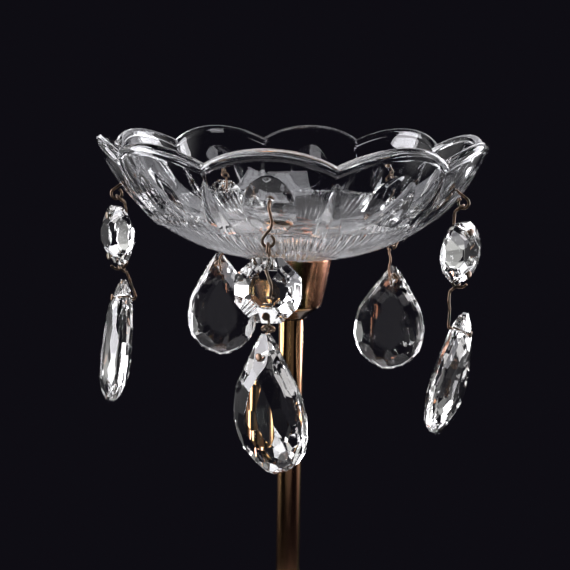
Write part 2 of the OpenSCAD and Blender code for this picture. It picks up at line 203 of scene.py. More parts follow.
link_all(sky, (
    (direction, parts.inputs[0]), (parts.outputs["X"], sideways.inputs[0]),
    (parts.outputs["Y"], behind.inputs[0]), (sideways.outputs[0], behind.inputs[2]),
    (behind.outputs[0], walls.inputs["Value"]), (direction, cloth.inputs["Vector"]),
    (parts.outputs["Z"], height.inputs["Value"]), (walls.outputs["Result"], lit.inputs[0]),
    (height.outputs["Result"], lit.inputs[1]), (lit.outputs[0], glow.inputs[0]),
    (cloth.outputs["Fac"], folds.inputs["Value"]), (folds.outputs["Result"], glow.inputs[1]),
    (glow.outputs[0], tone.inputs[0]), (tone.outputs[2], background.inputs["Color"])))
background.inputs["Strength"].default_value = 1.0
bpy.context.scene.world = world
bpy.context.scene.cycles.max_bounces = 24
bpy.context.scene.cycles.transmission_bounces = 24
bpy.context.scene.cycles.glossy_bounces = 8
bpy.context.scene.cycles.use_denoising = True
bpy.context.scene.view_settings.view_transform = "Standard"
print("nodes in the surroundings:", len(sky.nodes))

# %% [markdown]
# ## Helpers for materials
# Each finish is one material built from nodes. What several finishes share, the mottling of old
# lacquer, of felt and of not quite even glass, is a node group with named inputs, made once here.
# Every material then places that group with its own scale, detail and stretch.

# %% Helpers for materials
def new_material(name):
    material = bpy.data.materials.new(name)
    material.use_nodes = True
    shader = material.node_tree.nodes["Principled BSDF"]
    return material, material.node_tree, shader


def mottle_group():
    """Soft patches that stay put on the object, as a mask from 0 to 1."""
    group = bpy.data.node_groups.new("mottle", "ShaderNodeTree")
    face = group.interface
    for label, value in (("Scale", 100.0), ("Detail", 3.0), ("Low", 0.35), ("High", 0.65), ("Stretch", 1.0)):
        socket = face.new_socket(label, in_out="INPUT", socket_type="NodeSocketFloat")
        socket.default_value = value
    face.new_socket("Mask", in_out="OUTPUT", socket_type="NodeSocketFloat")
    start = add_node(group, "NodeGroupInput")
    end = add_node(group, "NodeGroupOutput")
    where = add_node(group, "ShaderNodeTexCoord")
    squeeze = add_node(group, "ShaderNodeCombineXYZ")
    squeeze.inputs["X"].default_value = 1
    squeeze.inputs["Y"].default_value = 1
    placed = add_node(group, "ShaderNodeVectorMath", operation="MULTIPLY")
    noise = add_node(group, "ShaderNodeTexNoise")
    spread = add_node(group, "ShaderNodeMapRange")
    link = group.links.new
    link(start.outputs["Stretch"], squeeze.inputs["Z"])
    link(where.outputs["Object"], placed.inputs[0])
    link(squeeze.outputs["Vector"], placed.inputs[1])
    link(placed.outputs["Vector"], noise.inputs["Vector"])
    link(start.outputs["Scale"], noise.inputs["Scale"])
    link(start.outputs["Detail"], noise.inputs["Detail"])
    link(noise.outputs["Fac"], spread.inputs["Value"])
    link(start.outputs["Low"], spread.inputs["From Min"])
    link(start.outputs["High"], spread.inputs["From Max"])
    link(spread.outputs["Result"], end.inputs["Mask"])
    return group


MOTTLE = mottle_group()


def mottle(tree, **values):
    node = add_node(tree, "ShaderNodeGroup", node_tree=MOTTLE)
    return set_inputs(node, values).outputs["Mask"]


def blend_colours(tree, mask, low, high):
    ramp = add_node(tree, "ShaderNodeMix", data_type="RGBA")
    tree.links.new(mask, ramp.inputs["Factor"])
    for socket, value in (("A", low), ("B", high)):
        target = [s for s in ramp.inputs if s.name == socket and s.type == "RGBA"][0]
        if isinstance(value, bpy.types.NodeSocket):
            tree.links.new(value, target)
        else:
            target.default_value = value
    return [s for s in ramp.outputs if s.type == "RGBA"][0]


def ranged(tree, mask, low, high):
    node = add_node(tree, "ShaderNodeMapRange")
    tree.links.new(mask, node.inputs["Value"])
    set_inputs(node, {"To Min": low, "To Max": high})
    return node.outputs["Result"]


def bump(tree, height, strength, distance):
    node = add_node(tree, "ShaderNodeBump")
    tree.links.new(height, node.inputs["Height"])
    set_inputs(node, {"Strength": strength, "Distance": distance})
    return node.outputs["Normal"]


print("shared groups:", len(bpy.data.node_groups))

# %% [markdown]
# ## Glass materials
# Pressed glass and cut crystal are nearly the same stuff, but crystal bends light more and is a touch
# warmer. Both carry a very thin film of dust in patches, and the pressed bowl's surface waves a
# little where it cooled in the mould. Perfectly clean and even glass looks false.

# %% Glass materials
FILM_ROUGHNESS = 0.05
RIPPLE_HEIGHT = 0.2 * MM


def glass_material(name, ior, clear, hazy, waves, wave_size):
    material, tree, shader = new_material(name)
    set_inputs(shader, {"IOR": ior, "Transmission Weight": 1.0, "Metallic": 0.0})
    film = mottle(tree, Scale=90.0, Detail=4.0, Low=0.45, High=0.8)
    tree.links.new(blend_colours(tree, film, clear, hazy), shader.inputs["Base Color"])
    tree.links.new(ranged(tree, film, 0.0, FILM_ROUGHNESS), shader.inputs["Roughness"])
    ripple = mottle(tree, Scale=wave_size, Detail=1.0, Low=0.0, High=1.0)
    tree.links.new(bump(tree, ripple, waves, RIPPLE_HEIGHT), shader.inputs["Normal"])
    return material


BOWL_GLASS = glass_material(
    "bowl_glass", ior=1.52, clear=(0.985, 0.992, 0.99, 1), hazy=(0.95, 0.965, 0.965, 1),
    waves=0.35, wave_size=60.0)
CRYSTAL = glass_material(
    "crystal", ior=1.56, clear=(0.99, 0.99, 0.965, 1), hazy=(0.96, 0.965, 0.93, 1),
    waves=0.05, wave_size=80.0)
print("glass:", BOWL_GLASS.name, CRYSTAL.name)

# %% [markdown]
# ## Lacquered metal
# Old lacquered brass isn't one colour. The lacquer has thinned into pinkish and greenish films in long
# patches, and polishing leaves fine lines. Each metal here takes two base tones, the two films and the
# range of its roughness, so that one recipe makes the cup, the stem, the wires and the plated steel.

# %% Lacquered metal
def metal_material(name, dark, light, glow, green, rough, patch_scale, stretch, scratch):
    """Lacquered metal: a base between two tones, with warm and greenish films of lacquer in patches."""
    material, tree, shader = new_material(name)
    set_inputs(shader, {"Metallic": 1.0, "Coat Weight": 0.25, "Coat Roughness": 0.12})
    patches = mottle(tree, Scale=patch_scale, Detail=3.0, Low=0.35, High=0.65, Stretch=stretch)
    warm = mottle(tree, Scale=patch_scale * 0.8, Detail=1.0, Low=0.38, High=0.54, Stretch=stretch * 0.7)
    cool = mottle(tree, Scale=patch_scale * 1.6, Detail=1.0, Low=0.58, High=0.68, Stretch=stretch * 0.5)
    lines = mottle(tree, Scale=patch_scale * 30, Detail=2.0, Low=0.3, High=0.7, Stretch=0.04)
    base = blend_colours(tree, patches, dark, light)
    filmed = blend_colours(tree, warm, base, glow)
    tree.links.new(blend_colours(tree, cool, filmed, green), shader.inputs["Base Color"])
    tree.links.new(ranged(tree, lines, rough[0], rough[1]), shader.inputs["Roughness"])
    tree.links.new(bump(tree, lines, scratch, 0.02 * MM), shader.inputs["Normal"])
    return material

# %% [markdown]
# ## Painted shade
# The hollow and the underside of the cup get painted shade, a darker colour laid where shade falls. A turned
# piece shows which side is which: on a hollow side the surface faces the axis it was turned about.

# %% Painted shade
SHADE_FADE = 0.4 * MM
# Painted shade: the dark colour laid on the cup's hollow and on its underside.
PAINTED_SHADE = (0.10, 0.06, 0.03, 1)


def paint_shade(material, below, tone):
    """Paints shade on the hollow side of a turned piece, and on all that is below a height."""
    tree = material.node_tree
    place = add_node(tree, "ShaderNodeTexCoord").outputs["Object"]
    outwards = add_node(tree, "ShaderNodeVectorMath", operation="MULTIPLY")
    facing = add_node(tree, "ShaderNodeVectorMath", operation="DOT_PRODUCT")
    hollow = add_node(tree, "ShaderNodeMath", operation="LESS_THAN")
    height = add_node(tree, "ShaderNodeSeparateXYZ")
    low = add_node(tree, "ShaderNodeMapRange")
    either = add_node(tree, "ShaderNodeMath", operation="MAXIMUM")
    normal = add_node(tree, "ShaderNodeNewGeometry").outputs["Normal"]
    set_inputs(outwards, {1: (1, 1, 0)})
    set_inputs(hollow, {1: -0.1 * MM})
    set_inputs(low, {"From Min": below + SHADE_FADE, "From Max": below - SHADE_FADE})
    link_all(tree, (
        (place, outwards.inputs[0]), (outwards.outputs[0], facing.inputs[0]), (normal, facing.inputs[1]),
        (facing.outputs["Value"], hollow.inputs[0]), (place, height.inputs[0]),
        (height.outputs["Z"], low.inputs["Value"]), (hollow.outputs[0], either.inputs[0]),
        (low.outputs["Result"], either.inputs[1])))
    colour = next(n for n in tree.nodes if n.type == "BSDF_PRINCIPLED").inputs["Base Color"]
    bright = colour.links[0].from_socket
    tree.links.new(blend_colours(tree, either.outputs[0], bright, tone), colour)
    return material

# %% [markdown]
# ## The metals
# The cup is the warmest, the foot is a little duller, and the stem is the smoothest, with its films
# drawn out along it. The wires have gone nearly black, and the hidden hardware is plated steel.

# %% The metals
CUP_WALL_HEIGHT = 16.8 * MM
FOOT_BRASS = metal_material(
    "foot_brass", dark=(0.34, 0.20, 0.08, 1), light=(0.66, 0.40, 0.18, 1), glow=(0.86, 0.38, 0.24, 1),
    green=(0.38, 0.36, 0.12, 1), rough=(0.14, 0.24), patch_scale=75.0, stretch=0.10, scratch=0.06)
CUP_BRASS = metal_material(
    "cup_brass", dark=(0.42, 0.23, 0.09, 1), light=(0.84, 0.48, 0.20, 1), glow=(0.98, 0.44, 0.28, 1),
    green=(0.42, 0.40, 0.13, 1), rough=(0.14, 0.24), patch_scale=75.0, stretch=0.10, scratch=0.06)
# Painted shade on the cup's hollow and on all of the cup below its wall.
paint_shade(CUP_BRASS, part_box("candle_cup")[1].z - CUP_WALL_HEIGHT, PAINTED_SHADE)
STEM_BRASS = metal_material(
    "stem_brass", dark=(0.34, 0.20, 0.08, 1), light=(0.60, 0.38, 0.17, 1), glow=(0.72, 0.34, 0.20, 1),
    green=(0.56, 0.56, 0.22, 1), rough=(0.11, 0.18), patch_scale=140.0, stretch=0.05, scratch=0.06)
WIRE_BRASS = metal_material(
    "wire_brass", dark=(0.07, 0.055, 0.045, 1), light=(0.20, 0.145, 0.10, 1), glow=(0.24, 0.15, 0.10, 1),
    green=(0.10, 0.095, 0.07, 1), rough=(0.26, 0.42), patch_scale=260.0, stretch=1.0, scratch=0.3)
PLATED_STEEL = metal_material(
    "plated_steel", dark=(0.42, 0.42, 0.42, 1), light=(0.62, 0.62, 0.60, 1), glow=(0.66, 0.62, 0.48, 1),
    green=(0.50, 0.52, 0.46, 1), rough=(0.30, 0.45), patch_scale=120.0, stretch=1.0, scratch=0.3)
print("metals:", [m.name for m in (FOOT_BRASS, CUP_BRASS, STEM_BRASS, WIRE_BRASS, PLATED_STEEL)])

# %% [markdown]
# ## Iron, felt and floor
# These three are dull, and what sets them apart is the size of their grain: coarse on the cast iron,
# very fine on the felt, and hardly there on the table top. One function with a grain scale makes all
# three.

# %% Iron, felt and floor
def rough_material(name, dark, light, rough, scale, height):
    material, tree, shader = new_material(name)
    grain = mottle(tree, Scale=scale, Detail=6.0, Low=0.3, High=0.7)
    tree.links.new(blend_colours(tree, grain, dark, light), shader.inputs["Base Color"])
    tree.links.new(ranged(tree, grain, rough[0], rough[1]), shader.inputs["Roughness"])
    tree.links.new(bump(tree, grain, 0.8, height), shader.inputs["Normal"])
    return material


CAST_IRON = rough_material("cast_iron", dark=(0.05, 0.05, 0.05, 1), light=(0.12, 0.12, 0.12, 1),
                           rough=(0.6, 0.8), scale=400.0, height=0.3 * MM)
FELT = rough_material("felt", dark=(0.02, 0.07, 0.035, 1), light=(0.05, 0.14, 0.07, 1),
                      rough=(0.9, 1.0), scale=1500.0, height=0.3 * MM)
PALE_FLOOR = rough_material("pale_floor", dark=(0.62, 0.61, 0.59, 1), light=(0.68, 0.67, 0.65, 1),
                            rough=(0.55, 0.7), scale=300.0, height=0.05 * MM)
floor.data.materials.append(PALE_FLOOR)
print("materials:", len(bpy.data.materials))

# %% [markdown]
# ## The bowl
# The bobeche is pressed in a mould: smooth inside, where the plunger was, and patterned outside. The
# outside is a quarter of an ellipse turned round the axis. Each of the ten scallops carries one oval
# thumbprint, a lancet with a sharp ridge stands under each notch, and fine rays spread over the floor.
# One closed grid is walked round the profile for every angle, so that the relief is real geometry.

# %% The bowl
BOWL_R = 62 * MM
BOWL_H = RIM_TOP - BOWL_FLOOR
WALL = 3 * MM
SCALLOPS = 10
SCALLOP_ARC = 39 * MM
CURVE_R0 = 10 * MM
CURVE_B = 50 * MM
CURVE_A = (BOWL_R - CURVE_R0) / math.sin(math.acos(1 - BOWL_H / CURVE_B))
HOLE_R = 11.7 * MM
HOLE_EASE = 0.4 * MM
FLOOR_R = 13.2 * MM
CURVE_FROM_R = 14 * MM
front_axis = JOINTS["hook_1_sideways"]["axis"]
FRONT_TURN = math.atan2(front_axis[1], front_axis[0])


def outside_at(turn):
    return Vector((CURVE_R0 + CURVE_A * math.sin(turn), CURVE_B * (1 - math.cos(turn))))


def outside_normal(turn):
    return Vector((CURVE_B * math.sin(turn), -CURVE_A * math.cos(turn))).normalized()


def inside_at(turn):
    return Vector((CURVE_R0 + (CURVE_A - WALL) * math.sin(turn), CURVE_B - (CURVE_B - WALL) * math.cos(turn)))


def turn_at_height(height):
    return math.acos(1 - height / CURVE_B)


def smooth_step(low, high, value):
    x = min(max((value - low) / (high - low), 0), 1)
    return x * x * (3 - 2 * x)


OVAL_MIDDLE = 21.8 * MM
OVAL_HALF_WIDTH = 7.2 * MM
OVAL_HALF_LENGTH = 10.6 * MM
OVAL_DEPTH = 1.15 * MM
SPEAR_TIP = 28.2 * MM
SPEAR_FOOT = 12.8 * MM
SPEAR_HALF_WIDTH = 4.3 * MM
SPEAR_HEIGHT = 1.0 * MM
RAYS = 120
RAY_HEIGHT = 0.32 * MM
RAY_FROM_R = 15 * MM
LIP = 0.35 * MM
oval_turn = turn_at_height(OVAL_MIDDLE)
METRE_PER_TURN = (CURVE_A + CURVE_B) / 2


print("bowl curve:", round(CURVE_A / MM, 1), "by", round(CURVE_B / MM, 1), "mm")

# %% [markdown]
# ## Relief of the bowl
# The mould's pattern is a height added to the plain curve. A thumbprint is a shallow oval dish, a
# lancet is a ridge that narrows to its tip, and the rays are a wave round the floor. Writing it as one
# function of the angle and the place on the curve keeps all ten scallops the same.

# %% Relief of the bowl
def scallop_place(angle):
    """How far the angle is from the middle of its scallop, from -1 at one notch to 1 at the next."""
    pitch = 2 * math.pi / SCALLOPS
    return ((angle - FRONT_TURN) / pitch + 0.5) % 1 * 2 - 1


def relief(angle, turn):
    """Height of the pattern above the plain outside, in metres. The thumbprints are below it."""
    place = scallop_place(angle)
    point = outside_at(turn)
    pitch_half = math.pi / SCALLOPS
    across = place * pitch_half * point.x
    from_notch = (1 - abs(place)) * pitch_half * point.x
    height = 0.0
    along = (turn - oval_turn) * METRE_PER_TURN
    reach = math.hypot(across / OVAL_HALF_WIDTH, along / OVAL_HALF_LENGTH)
    if reach < 1:
        height -= OVAL_DEPTH * (1 - reach * reach)
    rise = (point.y - SPEAR_FOOT) / (SPEAR_TIP - SPEAR_FOOT)
    if 0 < rise < 1:
        half = SPEAR_HALF_WIDTH * (1 - rise) ** 0.75
        if from_notch < half:
            height += SPEAR_HEIGHT * (1 - from_notch / half) * (half / SPEAR_HALF_WIDTH) ** 0.5
    if point.y < SPEAR_FOOT:
        wave = 0.5 + 0.5 * math.cos(RAYS * (angle - FRONT_TURN))
        fade = smooth_step(RAY_FROM_R, RAY_FROM_R + 4 * MM, point.x)
        height -= RAY_HEIGHT * fade * (0.5 + wave)
    return height


print("relief at a thumbprint:", round(relief(FRONT_TURN, oval_turn) / MM, 2), "mm")

# %% [markdown]
# ## Wall of the bowl
# The wall is walked as one closed line at each angle: up the patterned outside, over the rounded lip
# and down the smooth inside. Nine hundred such lines, joined side by side, make a watertight bowl.

# %% Wall of the bowl
COLUMNS = 900
OUT_ROWS = 130
IN_ROWS = 40
LIP_ROWS = 12
RIM_R = 60 * MM
NOTCH_INSET = 1.3 * MM
INSET_FROM = 10 * MM
BAND_LOW, BAND_HIGH = 3.1 * MM, 2.7 * MM


def bowl_column(angle):
    """The closed profile of the bowl at one angle, as points (radius, height above the bowl's floor)."""
    place = scallop_place(angle)
    half_chord = RIM_R * math.sin(math.pi / SCALLOPS * abs(place))
    drop = SCALLOP_ARC - math.sqrt(SCALLOP_ARC ** 2 - half_chord ** 2)
    rim = BOWL_H - drop
    lobe = NOTCH_INSET * place * place
    lip_r = WALL / 2 + 0.1 * MM
    top_turn = turn_at_height(rim - lip_r)
    first_turn = math.asin((CURVE_FROM_R - CURVE_R0) / CURVE_A)
    column = [Vector((HOLE_R, HOLE_EASE)), Vector((HOLE_R + HOLE_EASE, 0)), Vector((FLOOR_R, 0))]
    for row in range(OUT_ROWS):
        turn = first_turn + (top_turn - first_turn) * row / (OUT_ROWS - 1)
        band = smooth_step(rim - BAND_LOW, rim - BAND_HIGH, outside_at(turn).y)
        inset = LIP * (1 - band) * smooth_step(0.1, 0.6, turn)
        point = outside_at(turn) + outside_normal(turn) * (relief(angle, turn) - inset)
        point.x -= lobe * smooth_step(INSET_FROM, rim, point.y) ** 1.5
        column.append(point)
    outer_end = column[-1]
    inner_turn = math.acos((CURVE_B - outer_end.y) / (CURVE_B - WALL))
    inner_end = inside_at(inner_turn)
    inner_end.x -= lobe
    middle = (outer_end + inner_end) / 2
    spoke = outer_end - middle
    up = Vector((0, 1)) * (rim - middle.y)
    for row in range(1, LIP_ROWS):
        a = math.pi * row / LIP_ROWS
        column.append(middle + spoke * math.cos(a) + up * math.sin(a))
    last_turn = math.asin((HOLE_R + 0.5 * MM - CURVE_R0) / (CURVE_A - WALL))
    for row in range(IN_ROWS):
        turn = inner_turn + (last_turn - inner_turn) * row / (IN_ROWS - 1)
        point = inside_at(turn)
        point.x -= lobe * smooth_step(INSET_FROM, rim, point.y) ** 1.5
        column.append(point)
    column.append(Vector((HOLE_R, WALL - HOLE_EASE)))
    return column


def bowl_mesh():
    verts = []
    for c in range(COLUMNS):
        angle = FRONT_TURN + 2 * math.pi * c / COLUMNS
        for point in bowl_column(angle):
            verts.append((point.x * math.cos(angle), point.x * math.sin(angle), BOWL_FLOOR + point.y))
    rows = len(verts) // COLUMNS
    faces = []
    for c in range(COLUMNS):
        here, there = c * rows, (c + 1) % COLUMNS * rows
        for r in range(rows):
            nxt = (r + 1) % rows
            faces.append((here + r, there + r, there + nxt, here + nxt))
    return mesh_from("bobeche_glass", verts, faces)


bowl = new_object("bobeche_glass", bowl_mesh())
print("bowl faces before drilling:", len(bowl.data.polygons))

# %% [markdown]
# ## Hook holes
# Five holes for the wires are drilled through the wall. A drill is a closed cylinder, and a boolean
# takes it out of the glass, which leaves a clean round hole whose wall shows through the bowl.

# %% Hook holes
def cut_away(target, cutter):
    """Takes the cutter's shape out of the target and removes the cutter."""
    modifier = target.modifiers.new("cut", "BOOLEAN")
    modifier.operation = "DIFFERENCE"
    modifier.solver = "EXACT"
    modifier.object = cutter
    graph = bpy.context.evaluated_depsgraph_get()
    result = bpy.data.meshes.new_from_object(target.evaluated_get(graph))
    target.modifiers.clear()
    target.data = result
    bpy.data.objects.remove(cutter)


def cylinder_mesh(radius, start, end, sides=24):
    """A closed cylinder between two points."""
    along = (end - start).normalized()
    turn = along.to_track_quat("Z", "Y").to_matrix()
    angles = [2 * math.pi * s / sides for s in range(sides)]
    ring = [turn @ Vector((radius * math.cos(a), radius * math.sin(a), 0)) for a in angles]
    verts = [start + v for v in ring] + [end + v for v in ring]
    faces = [(s, (s + 1) % sides, (s + 1) % sides + sides, s + sides) for s in range(sides)]
    faces += [tuple(reversed(range(sides))), tuple(range(sides, 2 * sides))]
    return verts, faces


WIRE_HOLE_R = 0.95 * MM
STRANDS = sorted(int(name.split("_")[1]) for name in JOINTS if name.endswith("outwards"))
drill_verts, drill_faces = [], []
for k in STRANDS:
    joint = JOINTS[f"hook_{k}_sideways"]
    at, axis = Vector(joint["pos_m"]), Vector(joint["axis"])
    verts, faces = cylinder_mesh(WIRE_HOLE_R, at - axis * 6 * MM, at + axis * 3 * MM)
    drill_faces += [tuple(i + len(drill_verts) for i in face) for face in faces]
    drill_verts += verts
cut_away(bowl, new_object("drills", mesh_from("drills", drill_verts, drill_faces, False)))
bowl.data.materials.clear()
bowl.data.materials.append(BOWL_GLASS)
for polygon in bowl.data.polygons:
    polygon.use_smooth = True
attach(bowl, "bobeche")
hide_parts("bobeche")
print("bowl faces after drilling:", len(bowl.data.polygons))

# %% [markdown]
# ## Cutting the crystals
# A crystal is cut, not moulded: flat facets are ground one after another until they meet in sharp
# edges. The same is done here. A block is cut by planes, each given by a point and a direction, and
# what is left is a solid whose faces are truly flat. A hair's breadth of bevel keeps the edges from
# being sharper than ground glass can be.

# %% Cutting the crystals
def strand_matrix(k, height):
    """Stands at strand k, at a height, with outwards along +X and up along +Z."""
    axis = JOINTS[f"hook_{k}_sideways"]["axis"]
    hang = JOINTS[f"bead_{k}_outwards"]["pos_m"]
    turn = Matrix.Rotation(math.atan2(axis[1], axis[0]), 4, "Z")
    return Matrix.Translation((hang[0], hang[1], height)) @ turn


def cut_solid(name, planes, size, bevel):
    """A block of a size, cut by planes given as (point, direction outwards), with bevelled edges."""
    bm = bmesh.new()
    bmesh.ops.create_cube(bm, size=size)
    for point, normal in planes:
        geometry = bm.verts[:] + bm.edges[:] + bm.faces[:]
        cut = bmesh.ops.bisect_plane(bm, geom=geometry, dist=1e-7, plane_co=point, plane_no=normal,
                                     clear_outer=True)
        edges = [e for e in cut["geom_cut"] if isinstance(e, bmesh.types.BMEdge)]
        if len(edges) > 2:
            bmesh.ops.contextual_create(bm, geom=edges)
    bmesh.ops.remove_doubles(bm, verts=bm.verts, dist=1e-6)
    bmesh.ops.bevel(bm, geom=bm.edges[:], offset=bevel, segments=1, affect="EDGES", clamp_overlap=True)
    bmesh.ops.recalc_face_normals(bm, faces=bm.faces)
    mesh = bpy.data.meshes.new(name)
    bm.to_mesh(mesh)
    bm.free()
    return mesh


def bevel_plane(direction, distance, inset, height, slope, side):
    """A facet over the edge line that lies at distance in direction (sideways, up). It passes height from
    the middle plane at inset within that line, and climbs towards the middle at slope. side is +1 or -1."""
    out = Vector((0, direction[0], direction[1]))
    point = out * (distance - inset) + Vector((side * height, 0, 0))
    normal = out * math.sin(slope) + Vector((side * math.cos(slope), 0, 0))
    return point, normal


print("outward turn of each strand:",
      [round(math.degrees(strand_matrix(k, 0).to_euler().z)) for k in STRANDS])

# %% [markdown]
# ## How each crystal hangs
# No two strands hang alike. Each octagon and drop is turned on its own wires, some drops lean or sway
# a few degrees, and the wire between the two is long or short. Angles are in degrees, lengths in mm.

# %% How each crystal hangs
OCTAGON_TURNS = {1: 0, 2: -22, 3: 15, 4: -10, 5: 25}
DROP_TURNS = {1: -35, 2: -5, 3: 30, 4: -20, 5: 8}
DROP_LEANS = {1: 0, 2: -10, 3: 0, 4: 0, 5: 8}
DROP_SWAYS = {1: 3, 2: 0, 3: 2.8, 4: -3.3, 5: 0}
DROP_OUTS = {1: 0, 2: 1, 3: 0, 4: 0, 5: -1}
DROP_GAPS = {1: 3, 2: 9.6, 3: 9.8, 4: 7, 5: 5.5}
DROP_HOLE = 5.9 * MM


def octagon_turn(k):
    return Matrix.Rotation(math.radians(OCTAGON_TURNS[k]), 4, "Z")


def hung(k):
    """The turn, lean and shift of drop k about the middle of its hole."""
    lean = Matrix.Rotation(math.radians(-DROP_LEANS[k]), 4, "Y")
    sway = Matrix.Rotation(math.radians(DROP_SWAYS[k]), 4, "X")
    turn = Matrix.Rotation(math.radians(DROP_TURNS[k]), 4, "Z")
    middle = Matrix.Translation((DROP_OUTS[k] * MM, 0, -DROP_HOLE))
    return middle @ lean @ sway @ turn @ Matrix.Translation((0, 0, DROP_HOLE))


print("drops hang below their octagons by:", list(DROP_GAPS.values()), "mm")

# %% [markdown]
# ## The octagon
# An octagon bead has a flat table on each face, eight main facets down to its thin edge and eight
# small ones over the corners. All of them follow from its width, its thickness and its table.

# %% The octagon
OCTAGON_HALF = 9 * MM
OCTAGON_TABLE = 4 * MM
TABLE_HALF = 3.75 * MM
GIRDLE = 0.8 * MM


def octagon_planes():
    planes = [(Vector((side * OCTAGON_TABLE, 0, 0)), Vector((side, 0, 0))) for side in (1, -1)]
    main_slope = math.atan2(OCTAGON_TABLE - GIRDLE, OCTAGON_HALF - TABLE_HALF)
    corner = OCTAGON_HALF / math.cos(math.pi / 8)
    for i in range(8):
        a = math.pi / 4 * i
        direction = (math.sin(a), math.cos(a))
        planes.append((Vector((0, *direction)) * OCTAGON_HALF, Vector((0, *direction))))
        b = a + math.pi / 8
        between = (math.sin(b), math.cos(b))
        for side in (1, -1):
            planes.append(bevel_plane(direction, OCTAGON_HALF, 0, GIRDLE, main_slope, side))
            planes.append(bevel_plane(between, corner, 0.9 * MM, GIRDLE, main_slope * 1.12, side))
    return planes


print("octagon planes:", len(octagon_planes()))

# %% [markdown]
# ## The pear drop
# The outline is a few points down one side, mirrored. Over each stretch of it a steep facet is cut
# down to the edge, and over each corner a flatter one that runs towards the table, near or far by turns.

# %% The pear drop
DROP_LENGTH = 40 * MM
# Each point is the share of the length from the top, and half the width there in mm.
DROP_OUTLINE = [(0.0, 1.5), (0.07, 3.3), (0.18, 6.8), (0.30, 9.8), (0.43, 12.0), (0.56, 13.1),
                (0.68, 13.2), (0.79, 12.1), (0.88, 9.7), (0.95, 6.1), (1.0, 1.6)]
DROP_GIRDLE = 0.7 * MM
DROP_TABLE = 4.2 * MM
DROP_SHIFT = 0.3 * MM


def drop_facets(direction, distance, side, rows):
    """One plane for each row of (inset, height above the girdle, slope in degrees)."""
    return [bevel_plane(direction, distance, inset * MM, DROP_GIRDLE + height * MM, math.radians(slope), side)
            for inset, height, slope in rows]


def drop_planes():
    """Facets of the pear drop, in a frame whose origin is the middle of the drop's top."""
    right = [Vector((half * MM, -part * DROP_LENGTH)) for part, half in DROP_OUTLINE]
    outline = right + [Vector((-p.x, p.y)) for p in reversed(right)]
    middle = Vector((0, -0.55 * DROP_LENGTH))
    planes = [(Vector((side * DROP_TABLE, 0, 0)), Vector((side, 0, 0))) for side in (1, -1)]
    count = len(outline)
    outward = []
    for i in range(count):
        edge = outline[(i + 1) % count] - outline[i]
        normal = Vector((edge.y, -edge.x)).normalized()
        outward.append(normal if normal.dot(outline[i] - middle) > 0 else -normal)
    for i in range(count):
        direction, distance = outward[i], outward[i].dot(outline[i])
        planes.append((Vector((0, *direction)) * distance, Vector((0, *direction))))
        at_top = direction.y > 0.9
        planes += drop_facets(direction, distance, 1, [(0, 0, 17 if at_top else 48)])
        planes += drop_facets(direction, distance, -1, [(0, 0, 26 if at_top else 52)])
        corner = outline[(i + 1) % count]
        between = (direction + outward[(i + 1) % count]).normalized()
        if i % 2 == 1 and between.y < 0.8:
            planes += drop_facets(between, between.dot(corner), 1, [(0.9, 0.9, 27)])
            planes += drop_facets(between, between.dot(corner), -1, [(0.9, 1.0, 24)])
        if i % 2 == 0 and between.y < 0.8:
            planes += drop_facets(between, between.dot(corner), 1, [(4.9, 2.75, 14)])
            planes += drop_facets(between, between.dot(corner), -1, [(5.2, 2.9, 11)])
    return planes


print("drop planes:", len(drop_planes()))

# %% [markdown]
# ## Drilling and hanging
# One octagon and one drop are cut and drilled as patterns, and then copied to each strand at its own
# height, turn and lean. Drilling before copying means that each hole is cut once and not five times.

# %% Drilling and hanging
CRYSTAL_BEVEL = 0.09 * MM
CRYSTAL_HOLE_R = 0.65 * MM


def octagon_middle(k):
    low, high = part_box(f"octagon_{k}")
    return (low.z + high.z) / 2


def drop_top(k):
    return octagon_middle(k) - OCTAGON_HALF - DROP_GAPS[k] * MM


def link_above(k):
    """How far the link that carries drop k is above the drop's top."""
    return JOINTS[f"drop_{k}_sideways"]["pos_m"][2] - drop_top(k)


def drill_crystal(crystal, heights):
    for height in heights:
        start, end = Vector((-8 * MM, 0, height)), Vector((8 * MM, 0, height))
        verts, faces = cylinder_mesh(CRYSTAL_HOLE_R, start, end, 20)
        cut_away(crystal, new_object("drill", mesh_from("drill", verts, faces, False)))


def make_crystal(name, planes, size, shift, holes):
    mesh = cut_solid(name, planes, size, CRYSTAL_BEVEL)
    mesh.transform(Matrix.Translation(shift))
    crystal = new_object(name, mesh)
    drill_crystal(crystal, holes)
    crystal.data.materials.clear()
    crystal.data.materials.append(CRYSTAL)
    return crystal


OCTAGON_HOLE = 6.4 * MM
octagon_pattern = make_crystal("octagon_pattern", octagon_planes(), 60 * MM, (0, 0, 0),
                               [OCTAGON_HOLE, -OCTAGON_HOLE])
drop_pattern = make_crystal("drop_pattern", drop_planes(), 160 * MM, (DROP_SHIFT, 0, 0), [-DROP_HOLE])
for k in STRANDS:
    octagon_at = strand_matrix(k, octagon_middle(k)) @ octagon_turn(k)
    drop_at = strand_matrix(k, drop_top(k)) @ hung(k)
    for pattern, name, matrix, body in (
        (octagon_pattern, f"octagon_{k}", octagon_at, f"bead_{k}"),
        (drop_pattern, f"drop_{k}", drop_at, f"pendant_{k}"),
    ):
        mesh = pattern.data.copy()
        mesh.transform(matrix)
        crystal = new_object(f"{name}_cut", mesh)
        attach(crystal, body)
        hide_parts(name)
print("drop facets:", len(drop_pattern.data.polygons), "octagon facets:", len(octagon_pattern.data.polygons))
bpy.data.objects.remove(octagon_pattern)
bpy.data.objects.remove(drop_pattern)

# %% [markdown]
# ## Wire pins
# Each crystal hangs from a brass nail: a wire with a flat head, pushed through the crystal and bent to
# an eye with pliers. A tube is swept along a smooth line through a few given points, and its
# radius swells at the start into the domed head, so that head and wire are one piece as on the nail.

# %% Wire pins
WIRE_R = 0.42 * MM
HEAD_R = 1.15 * MM
EYE_R = 1.6 * MM
RING_TILT = math.radians(50)
WIRE_SIDES = 14


